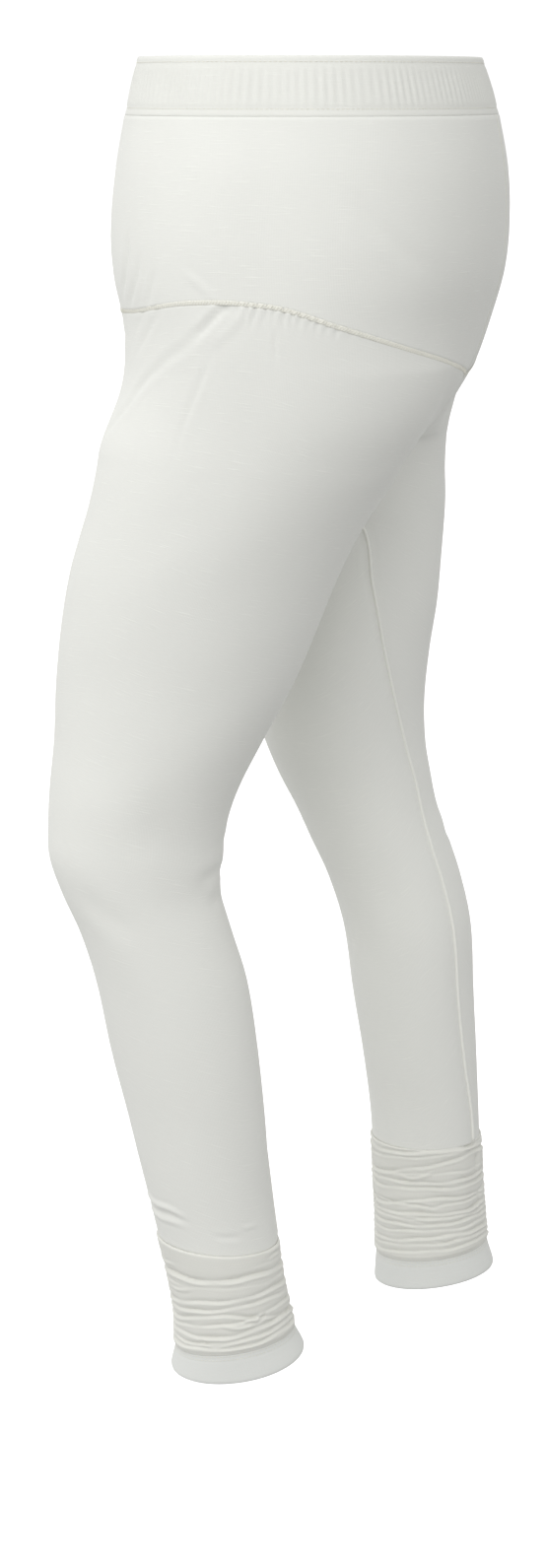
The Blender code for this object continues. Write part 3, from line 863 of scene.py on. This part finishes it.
# Each valley's drop, and then its depth, at 0, 60, 120, 180, 240 and 300 degrees, and its width
VALLEY_STEP = 60
Valley = namedtuple("Valley", "drops depths width")
VALLEYS = {
    "left": [
        Valley((845, 844, 843, 844, 844, 845), (0.9, 0.5, 0.2, 0.0, 0.2, 0.8), 1.3),
        Valley((856, 857, 853, 852, 850, 853), (1.2, 1.4, 1.9, 2.0, 1.9, 1.6), 1.7),
        Valley((862, 863, 860, 858, 857, 859), (0.8, 0.5, 0.4, 0.2, 0.3, 0.9), 1.2),
        Valley((870, 877, 875, 868, 864, 866), (1.3, 1.2, 1.5, 1.0, 1.4, 1.6), 1.4),
        Valley((876, 882, 881, 874, 870, 872), (0.6, 1.0, 1.4, 1.5, 0.9, 0.4), 1.3),
        Valley((881, 889, 888, 879, 884, 889), (1.3, 1.1, 1.2, 1.5, 1.3, 1.5), 1.3),
        Valley((886, 893, 893, 886, 878, 880), (0.7, 0.4, 0.8, 1.1, 1.0, 0.9), 1.2),
        Valley((890, 898, 899, 895, 887, 886), (1.2, 1.3, 1.3, 1.7, 1.6, 1.2), 1.4),
        Valley((896, 903, 905, 900, 892, 891), (1.0, 0.8, 1.1, 1.6, 1.2, 1.3), 1.2),
        Valley((899, 907, 909, 904, 897, 895), (0.5, 0.9, 1.2, 1.3, 1.4, 0.6), 1.2),
    ],
    "right": [
        Valley((813, 817, 817, 816, 815, 813), (1.6, 1.5, 1.1, 1.2, 1.3, 1.5), 1.3),
        Valley((817, 823, 823, 821, 818, 815), (0.6, 0.9, 0.7, 0.3, 0.4, 0.9), 1.0),
        Valley((826, 836, 833, 829, 825, 819), (1.3, 1.5, 1.2, 0.9, 1.3, 1.5), 1.3),
        Valley((831, 833, 829, 832, 833, 832), (0.6, 0.2, 0.9, 1.3, 0.5, 0.4), 1.1),
        Valley((838, 841, 841, 839, 838, 839), (1.3, 1.4, 1.0, 0.9, 1.1, 1.3), 1.2),
        Valley((843, 847, 846, 845, 845, 844), (1.4, 1.2, 0.8, 1.3, 1.1, 1.5), 1.2),
        Valley((852, 862, 857, 853, 853, 853), (1.5, 1.2, 1.3, 0.8, 1.3, 1.3), 1.2),
        Valley((857, 859, 863, 860, 858, 857), (0.8, 0.9, 0.5, 1.1, 0.6, 0.9), 1.0),
        Valley((864, 867, 868, 866, 864, 864), (1.5, 1.4, 1.1, 1.2, 1.4, 1.5), 1.2),
        Valley((868, 871, 873, 871, 869, 868), (0.9, 0.7, 0.9, 0.5, 0.8, 0.9), 1.0),
        Valley((873, 877, 878, 876, 873, 872), (1.4, 1.3, 0.9, 1.2, 1.2, 1.4), 1.1),
        Valley((878, 883, 884, 881, 879, 877), (0.9, 1.1, 0.7, 0.6, 1.1, 0.7), 1.0),
        Valley((884, 892, 892, 888, 885, 882), (1.4, 1.2, 1.2, 1.1, 1.0, 1.4), 1.2),
        Valley((889, 896, 896, 892, 889, 887), (0.8, 0.6, 1.0, 0.9, 0.5, 0.9), 1.0),
        Valley((895, 901, 901, 898, 895, 891), (1.2, 1.1, 0.8, 0.9, 1.1, 1.3), 1.1),
    ],
}
CHURI_CREASES = {
    "left": [
        Crease(0.8, 1.3, ((176, 884), (188, 888), (206, 888), (220, 882), (228, 878))),
        Crease(-0.9, 1.2, ((196, 884), (210, 886), (222, 883), (232, 876))),
        Crease(0.6, 1.2, ((120, 866), (140, 865), (160, 861))),
        Crease(-0.7, 1.2, ((240, 842), (256, 840), (276, 843))),
        Crease(-1.9, 3.2, ((270, 884), (276, 893), (278, 904))),
        Crease(-1.3, 2.8, ((292, 842), (296, 852), (294, 866))),
        Crease(0.6, 1.1, ((104, 846), (120, 847), (146, 845))),
        Crease(-0.7, 1.1, ((150, 898), (170, 903), (190, 899))),
    ],
    "right": [
        Crease(-2.0, 3.0, ((289, 822), (287, 830), (288, 840))),
        Crease(-1.2, 2.6, ((284, 850), (286, 860), (283, 870))),
        Crease(0.7, 1.2, ((340, 826), (352, 832), (8, 836), (26, 834))),
        Crease(-0.8, 1.1, ((330, 854), (346, 859), (4, 857), (20, 861))),
        Crease(0.6, 1.1, ((336, 868), (352, 870), (10, 868), (30, 872))),
        Crease(-0.7, 1.1, ((318, 884), (336, 888), (354, 886))),
        Crease(-1.4, 2.6, ((70, 852), (68, 862), (72, 872))),
    ],
}


def valley_lift(valleys, angle, drop):
    """Sharp valleys between rounded bands of cloth, all round the ankle."""
    lift = np.zeros_like(drop)
    turn = np.radians(angle)
    for number, (drops, depths, width) in enumerate(valleys):
        rows = [(n * VALLEY_STEP, drops[n % 6], depths[n % 6]) for n in range(-2, 9)]
        _, at, depth = read_table(rows, angle % 360)
        wander = waves(turn, [Wave(0.6, 4, 2.1 * number), Wave(0.4, 9, 1.3 * number)])
        fade = waves(turn, [Wave(1.0, 5, 1.7 * number), Wave(0.5, 11, number)])
        below = (drop - at - VALLEY_WANDER * wander) / width
        crest = CREST * np.exp(-(((below - CREST_AT) / CREST_SPREAD) ** 2))
        valley = np.exp(-(np.abs(below) ** VALLEY_SHARPNESS))
        lift += np.clip(depth * (1 + VALLEY_FADE * fade), 0, None) * (crest - valley)
    return lift


# The ruched jersey's tones are darker than the legs' jersey: painted shade for the dimmer light low
# down at the ankles
churi_shaded_jersey = jersey("ruched jersey with painted shade", shade=(0.74, 0.74, 0.69), lit=(0.80, 0.80, 0.745), slubs=0.7)
churi_share = np.linspace(0, 1, CHURI_COLUMNS + 1)
for side, mirror in SIDES.items():
    seam_angle = read_table(INSEAM, [CHURI_TOP[side].drop])[1][0]
    angle = 360 * churi_share[None, :] + seam_angle
    top = slant_drop(side, angle, CHURI_TOP[side]) - SEAM_GAP
    foot = slant_drop(side, angle, HEM_TOP[side]) - SEAM_GAP / 2
    drop = top + np.linspace(0, 1, CHURI_ROWS)[:, None] * (foot - top)
    angle = angle + 0 * drop
    base = place(side, angle, drop)
    base[:, -1] = base[:, 0]
    tube = np.arange(CHURI_ROWS)
    out = out_of(base, mirror, tube)
    metres = lengths_of(base)
    from_seam = np.abs((angle - seam_angle + 180) % 360 - 180)
    deeper = 1 + DEEPER * (1 - ease(from_seam / DEEPER_WIDTH))
    lift = deeper * valley_lift(VALLEYS[side], angle, drop)
    lift = lift + crease_lift(CHURI_CREASES[side], angle, drop, metres)
    lift = lift + PUFF - TUCK * (1 - ease(from_seam / TUCK_WIDTH))
    lift = lift + slack(angle, drop * 3, RUCHED_SLACK)
    lift = lift * ease((drop - top) / PUFF_TOP + PUFF_AT_TOP) * ease((foot - drop) / PUFF_FOOT)
    lift[:, 0] = lift[:, -1] = (lift[:, 0] + lift[:, -1]) / 2
    points = base + out * lift[..., None] * MM
    points[:, -1] = points[:, 0]
    churi = cloth_object(f"churi_{side}_cloth", points, mirror, metres, JERSEY_WALL)
    dress(churi, churi_shaded_jersey, f"churi_{side}")


# The hems
# The end of each leg is turned up and sewn with a twin needle, which leaves two rows of stitches
# side by side just below the ruched part and a smooth plain band under them.

HEM_FOOT = {"left": Slant(921.5, 7.5, 10), "right": Slant(926, 8)}
HEM_WALL = 2.0
HEM_CLOTH = 0.9
HEM_COLUMNS = 180
HEM_ROWS = 26
HEM_INSIDE_STEP = 3
HEM_HEIGHT = 22.0
HEM_SLACK = 0.2
HEM_SMOOTH_TOP = 0.2
HEM_ROLL = 0.5
HEM_ROLL_FROM = 0.93

HEM_STITCH_SHARES = (0.08, 0.2)
HEM_STITCH_DENT = 0.2
HEM_STITCH_DENT_SHARE = 0.05
HEM_STITCH = Stitch(3.1, 2.3, 0.5, 0.4)

# How far each hem widens towards its foot, at the front and at the back
Flare = namedtuple("Flare", "front back")
HEM_FLARE = {"left": Flare(1.5, 3.5), "right": Flare(0.0, 2.6)}

# The hem's tones are darker and cooler than the legs' jersey: painted shade for the dimmer light at
# the foot of the leg
hem_shaded_jersey = jersey("hem jersey with painted shade", shade=(0.73, 0.742, 0.712), lit=(0.785, 0.797, 0.765), slubs=0.6)
hem_share = np.linspace(0, 1, HEM_COLUMNS + 1)
for side, mirror in SIDES.items():
    seam_angle = read_table(INSEAM, [CHURI_TOP[side].drop])[1][0]
    angle = 360 * hem_share[None, :] + seam_angle
    top = slant_drop(side, angle, HEM_TOP[side]) + SEAM_GAP / 2
    foot = slant_drop(side, angle, HEM_FOOT[side])
    down = np.concatenate([[-LAP / HEM_HEIGHT], np.linspace(0, 1, HEM_ROWS - 1)])[:, None]
    drop = top + down * (foot - top)
    angle = angle + 0 * drop
    base = place(side, angle, drop)
    base[:, -1] = base[:, 0]
    out = out_of(base, mirror, np.arange(HEM_ROWS))
    toward_front = np.sin(np.radians(angle))
    widest = np.where(toward_front > 0, HEM_FLARE[side].front, HEM_FLARE[side].back)
    base = base + out * (widest * toward_front**2 * ease(down))[..., None] * MM
    base[:, -1] = base[:, 0]
    metres = lengths_of(base)
    lift = slack(angle, drop * 2, HEM_SLACK) * ease(down / HEM_SMOOTH_TOP)
    for share in HEM_STITCH_SHARES:
        lift = lift - HEM_STITCH_DENT * np.exp(-(((down - share) / HEM_STITCH_DENT_SHARE) ** 2))
    lift = lift - HEM_ROLL * ease((down - HEM_ROLL_FROM) / (1 - HEM_ROLL_FROM))
    lift[0] = -LAP_DEPTH
    lift[:, 0] = lift[:, -1] = (lift[:, 0] + lift[:, -1]) / 2
    points = base + out * lift[..., None] * MM
    # The cloth folds at the foot and comes back up on the inside
    inside = (base - out * HEM_WALL * MM)[::-HEM_INSIDE_STEP]
    fold = (points[-1:] + inside[:1]) / 2 + (points[-1:] - points[-2:-1]) * 0.5
    folded = np.concatenate([points, fold, inside])
    folded[:, -1] = folded[:, 0]
    hem = cloth_object(f"hem_{side}_cloth", folded, mirror, lengths_of(folded), HEM_CLOTH)
    dress(hem, hem_shaded_jersey, f"hem_{side}")
    rows = []
    for share in HEM_STITCH_SHARES:
        row = int(round(share * (HEM_ROWS - 1)))
        rows.append(spaced(points[row], out[row], HEM_STITCH.step))
    twin = stitches(f"hem_{side}_stitches", *(np.concatenate(part) for part in zip(*rows)), HEM_STITCH)
    dress(twin, THREAD)


# The seams
# The yoke is sewn to the legs with an overlock that shows on the outside as a cream cord of
# slanting loops. The inseams and the centre seams are narrow ridges where the edges are joined.

YOKE_SEAM_WIDTH = 3.4
YOKE_SEAM_HEIGHT = 0.3
OVERLOCK_STITCH = Stitch(2.2, YOKE_SEAM_WIDTH, 0.9, 0.5)
OVERLOCK_SLANT = 0.6
INSEAM_WIDTH = 2.4
INSEAM_HEIGHT = 1.25
CENTRE_WIDTH = 2.4
CENTRE_HEIGHT = 0.6
RIDGE_SIDES = 10
RIDGE_STEP = 1.6
RIDGE_TAPER_STEPS = 3

seam_cloth = jersey("seam ridge", shade=(0.78, 0.775, 0.71), lit=(0.83, 0.825, 0.755), slubs=0.3)
# The inseam ridges are lighter than the legs' jersey: a painted highlight along the raised ridge
inseam_highlight_cloth = jersey("inseam ridge with painted highlight", shade=(0.85, 0.85, 0.80), lit=(0.90, 0.90, 0.85), slubs=0.3)


def seam_ridge(name, path, out, width, height):
    """A narrow ridge along a path, flat oval in section, that tapers to a point at both ends."""
    middles, ahead, ways = spaced(path, out, RIDGE_STEP)
    across = np.cross(ways, ahead)
    turns = np.linspace(0, 2 * math.pi, RIDGE_SIDES + 1)
    gone = np.arange(len(middles))
    taper = np.sqrt(np.clip(np.minimum(gone, gone[::-1]) / RIDGE_TAPER_STEPS, 0, 1))[:, None, None]
    sideways = across[:, None] * (np.cos(turns) * width / 2)[None, :, None]
    upwards = ways[:, None] * (np.sin(turns) * height)[None, :, None]
    points = middles[:, None] + (sideways + upwards) * taper * MM
    points[:, -1] = points[:, 0]
    return cloth_object(name, points, -1, lengths_of(points))


def overlock(name, path, out):
    """Slanting loops of thread across the yoke seam, closely side by side."""
    middles, ahead, ways = spaced(path, out, OVERLOCK_STITCH.step)
    slant = np.cross(ways, ahead) + ahead * OVERLOCK_SLANT
    slant /= np.linalg.norm(slant, axis=1, keepdims=True)
    return stitches(name, middles + ways * YOKE_SEAM_HEIGHT * MM, slant, ways, OVERLOCK_STITCH)


for side in SIDES:
    yoke = yokes[side][0]
    leg, points, out, tube = legs[side]
    ridge = seam_ridge(f"yoke_seam_{side}", points[0], out[0], YOKE_SEAM_WIDTH, YOKE_SEAM_HEIGHT)
    dress(ridge, seam_cloth)
    loops = overlock(f"yoke_seam_{side}_loops", points[0], out[0])
    dress(loops, THREAD)
    inseam = seam_ridge(f"inseam_{side}", points[tube, 0], out[tube, 0], INSEAM_WIDTH, INSEAM_HEIGHT)
    dress(inseam, inseam_highlight_cloth)

# One seam runs from the waistband down the centre front, under the crotch and up the centre back
yoke_points = yokes["left"][1]
leg_points = legs["left"][1]
front_path = np.concatenate([yoke_points[:, 0], leg_points[:HIP_ROWS, 0]])
back_path = np.concatenate([yoke_points[:, -1], leg_points[:HIP_ROWS, -1]])
centre_path = np.concatenate([front_path, leg_points[HIP_ROWS, :1], back_path[::-1]])
centre_path[:, 0] = 0.0
ahead = np.gradient(centre_path, axis=0)
centre_out = np.stack([0 * ahead[:, 0], ahead[:, 2], -ahead[:, 1]], axis=-1)
centre_out /= np.linalg.norm(centre_out, axis=1, keepdims=True)
centre = seam_ridge("centre_seam", centre_path, centre_out, CENTRE_WIDTH, CENTRE_HEIGHT)
dress(centre, seam_cloth)


# The floor
# A plain pale floor well below the hems, bright enough to run into the white round it.

FLOOR_Z = -1.06
FLOOR_SIZE = 80.0

bpy.ops.mesh.primitive_plane_add(size=FLOOR_SIZE, location=(0, 0, FLOOR_Z))
floor = bpy.context.object
floor.name = "floor"
floor_paint = bpy.data.materials.new("pale floor")
floor_paint.use_nodes = True
floor_shader = floor_paint.node_tree.nodes["Principled BSDF"]
floor_shader.inputs["Base Color"].default_value = (0.86, 0.86, 0.86, 1.0)
floor_shader.inputs["Roughness"].default_value = 0.9
floor_shader.inputs["Specular IOR Level"].default_value = 0.1
floor_shader.inputs["Emission Color"].default_value = (1.0, 1.0, 1.0, 1.0)
floor_shader.inputs["Emission Strength"].default_value = 0.62
floor.data.materials.append(floor_paint)
floor.visible_diffuse = False


# Light and camera
# Soft white studio light from all round, strongest from high up in front and weakest from low
# down behind, with three soft lights: a key beside the camera, a top light and a weak fill.

LIGHT_FROM = (0.2, -0.34, 0.8)
LIGHT_LEAST = 0.25
LIGHT_MOST = 1.06
BACKDROP = 1.05

Lamp = namedtuple("Lamp", "name watts size place aim")
LAMPS = [
    Lamp("key light", 11.0, 1.6, (1.8, -0.15, 0.95), (0, 0, -0.25)),
    Lamp("top light", 7.5, 1.8, (0.6, -1.3, 1.5), (0, 0, -0.1)),
    Lamp("fill light", 4.0, 1.8, (2.0, 2.0, 0.2), (0, 0, -0.45)),
]

CAMERA_PLACE = (2.2651, 0.3994, 0.0)
CAMERA_AIM = (0.0, -0.021, -0.511)
LENS = 72.2
SENSOR = 36.0

world = bpy.data.worlds.new("white studio")
bpy.context.scene.world = world
world.use_nodes = True
sky, join = world.node_tree.nodes, world.node_tree.links.new
background = sky["Background"]
background.inputs["Color"].default_value = (1.0, 1.0, 1.0, 1.0)
place_in_sky = sky.new("ShaderNodeTexCoord")
toward = sky.new("ShaderNodeVectorMath")
toward.operation = "DOT_PRODUCT"
toward.inputs[1].default_value = LIGHT_FROM
join(place_in_sky.outputs["Generated"], toward.inputs[0])
soft_light = sky.new("ShaderNodeMapRange")
soft_light.inputs["From Min"].default_value = -1.0
soft_light.inputs["To Min"].default_value = LIGHT_LEAST
soft_light.inputs["To Max"].default_value = LIGHT_MOST
join(toward.outputs["Value"], soft_light.inputs["Value"])
ray = sky.new("ShaderNodeLightPath")
strength = sky.new("ShaderNodeMix")
strength.inputs["B"].default_value = BACKDROP
join(ray.outputs["Is Camera Ray"], strength.inputs["Factor"])
join(soft_light.outputs[0], strength.inputs["A"])
join(strength.outputs[0], background.inputs["Strength"])


def turn_to(thing, place, aim):
    """Turns a light or the camera from its place to what it is aimed at."""
    way = Vector(aim) - Vector(place)
    thing.rotation_euler = way.to_track_quat("-Z", "Y").to_euler()


for lamp in LAMPS:
    bpy.ops.object.light_add(type="AREA", location=lamp.place)
    light = bpy.context.object
    light.name = lamp.name
    light.data.energy = lamp.watts
    light.data.size = lamp.size
    turn_to(light, lamp.place, lamp.aim)

bpy.ops.object.camera_add(location=CAMERA_PLACE)
camera = bpy.context.object
camera.data.lens = LENS
camera.data.sensor_width = SENSOR
turn_to(camera, CAMERA_PLACE, CAMERA_AIM)
bpy.context.scene.camera = camera
bpy.context.scene.view_settings.view_transform = "Standard"
